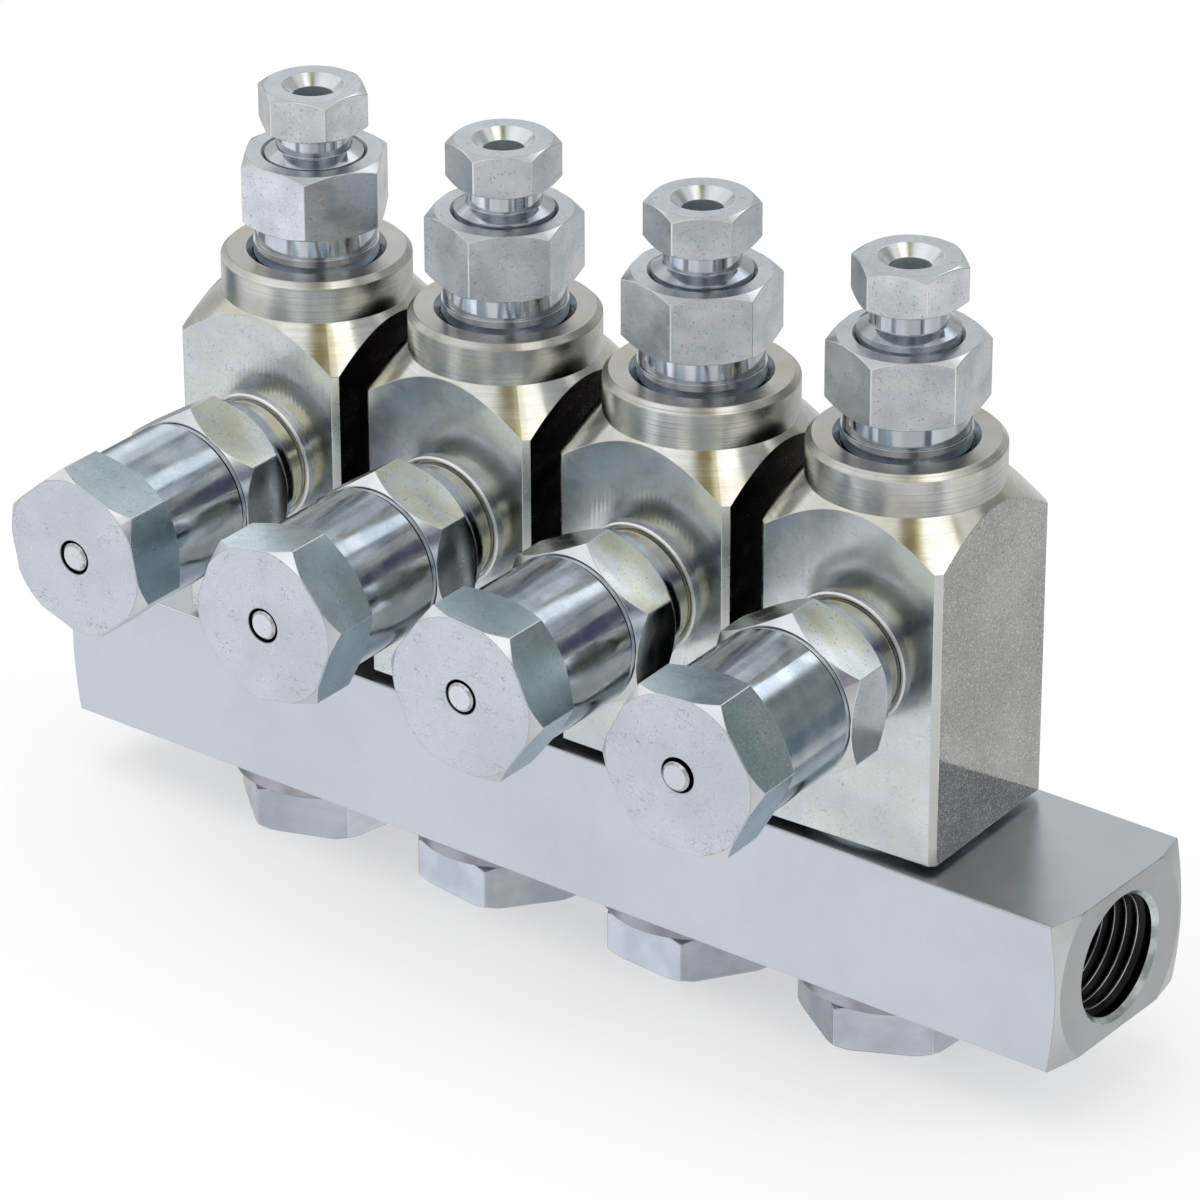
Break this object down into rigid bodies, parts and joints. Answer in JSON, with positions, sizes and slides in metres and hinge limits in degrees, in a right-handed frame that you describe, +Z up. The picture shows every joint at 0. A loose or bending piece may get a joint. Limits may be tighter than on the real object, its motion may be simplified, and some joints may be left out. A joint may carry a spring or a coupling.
{
  "type": "grease injector manifold",
  "caption": "Bar manifold with a row of piston grease injectors: hexagon end caps in front, tube nuts on top, threaded inlets in the bar's ends.",
  "frame": {"origin": "middle of the bar's back face", "axes": "+X along the bar, the end caps face -Y, +Z up out of the tube nuts"},
  "size_m": [0.1244, 0.0496, 0.082],
  "materials": {
    "bar_steel": "bright plated, fine machined",
    "block_steel": "bright plated, milled and turned",
    "fitting_steel": "bright plated, turned",
    "bolt_steel": "bright plated",
    "seal_ring_steel": "dull plated ring with a rubber lip",
    "gasket": "matt black",
    "rubber": "satin black",
    "brass": "turned",
    "piston_steel": "ground",
    "spring_steel": "drawn wire"
  },
  "bodies": {
    "manifold": {"manifold_bar": "bar_steel", "adapter_bolts": "bolt_steel", "bonded_seals": "seal_ring_steel", "body_gaskets": "gasket", "ferrules": "brass", "tube_nuts": "fitting_steel", "port_seals": "seal_ring_steel", "injector_body_1": "block_steel", "outlet_check_1": "rubber", "outlet_adapter_1": "fitting_steel", "piston_cylinder_1": "fitting_steel", "end_cap_1": "fitting_steel", "injector_body_2": "block_steel", "outlet_check_2": "rubber", "outlet_adapter_2": "fitting_steel", "piston_cylinder_2": "fitting_steel", "end_cap_2": "fitting_steel", "injector_body_3": "block_steel", "outlet_check_3": "rubber", "outlet_adapter_3": "fitting_steel", "piston_cylinder_3": "fitting_steel", "end_cap_3": "fitting_steel", "injector_body_4": "block_steel", "outlet_check_4": "rubber", "outlet_adapter_4": "fitting_steel", "piston_cylinder_4": "fitting_steel", "end_cap_4": "fitting_steel"},
    "piston_row_1": {"piston_1": "piston_steel", "piston_seal_1": "rubber", "indicator_pin_1": "piston_steel", "return_spring_1": "spring_steel"},
    "piston_row_2": {"piston_2": "piston_steel", "piston_seal_2": "rubber", "indicator_pin_2": "piston_steel", "return_spring_2": "spring_steel"},
    "piston_row_3": {"piston_3": "piston_steel", "piston_seal_3": "rubber", "indicator_pin_3": "piston_steel", "return_spring_3": "spring_steel"},
    "piston_row_4": {"piston_4": "piston_steel", "piston_seal_4": "rubber", "indicator_pin_4": "piston_steel", "return_spring_4": "spring_steel"}
  },
  "joints": [
    {"name": "piston_slide_1", "type": "slide", "parent": "manifold", "child": "piston_row_1", "axis": [0.0087, -1, 0], "range_m": [0, 0.005], "stiffness_N_per_m": 4500, "springref_m": -0.003, "deforming": ["return_spring_1"]},
    {"name": "piston_slide_2", "type": "slide", "parent": "manifold", "child": "piston_row_2", "axis": [0.007, -1, 0], "range_m": [0, 0.005], "stiffness_N_per_m": 4500, "springref_m": -0.003, "deforming": ["return_spring_2"]},
    {"name": "piston_slide_3", "type": "slide", "parent": "manifold", "child": "piston_row_3", "axis": [0.0087, -1, 0], "range_m": [0, 0.005], "stiffness_N_per_m": 4500, "springref_m": -0.003, "deforming": ["return_spring_3"]},
    {"name": "piston_slide_4", "type": "slide", "parent": "manifold", "child": "piston_row_4", "axis": [0.0401, -0.9992, 0], "range_m": [0, 0.005], "stiffness_N_per_m": 4500, "springref_m": -0.003, "deforming": ["return_spring_4"]}
  ]
}
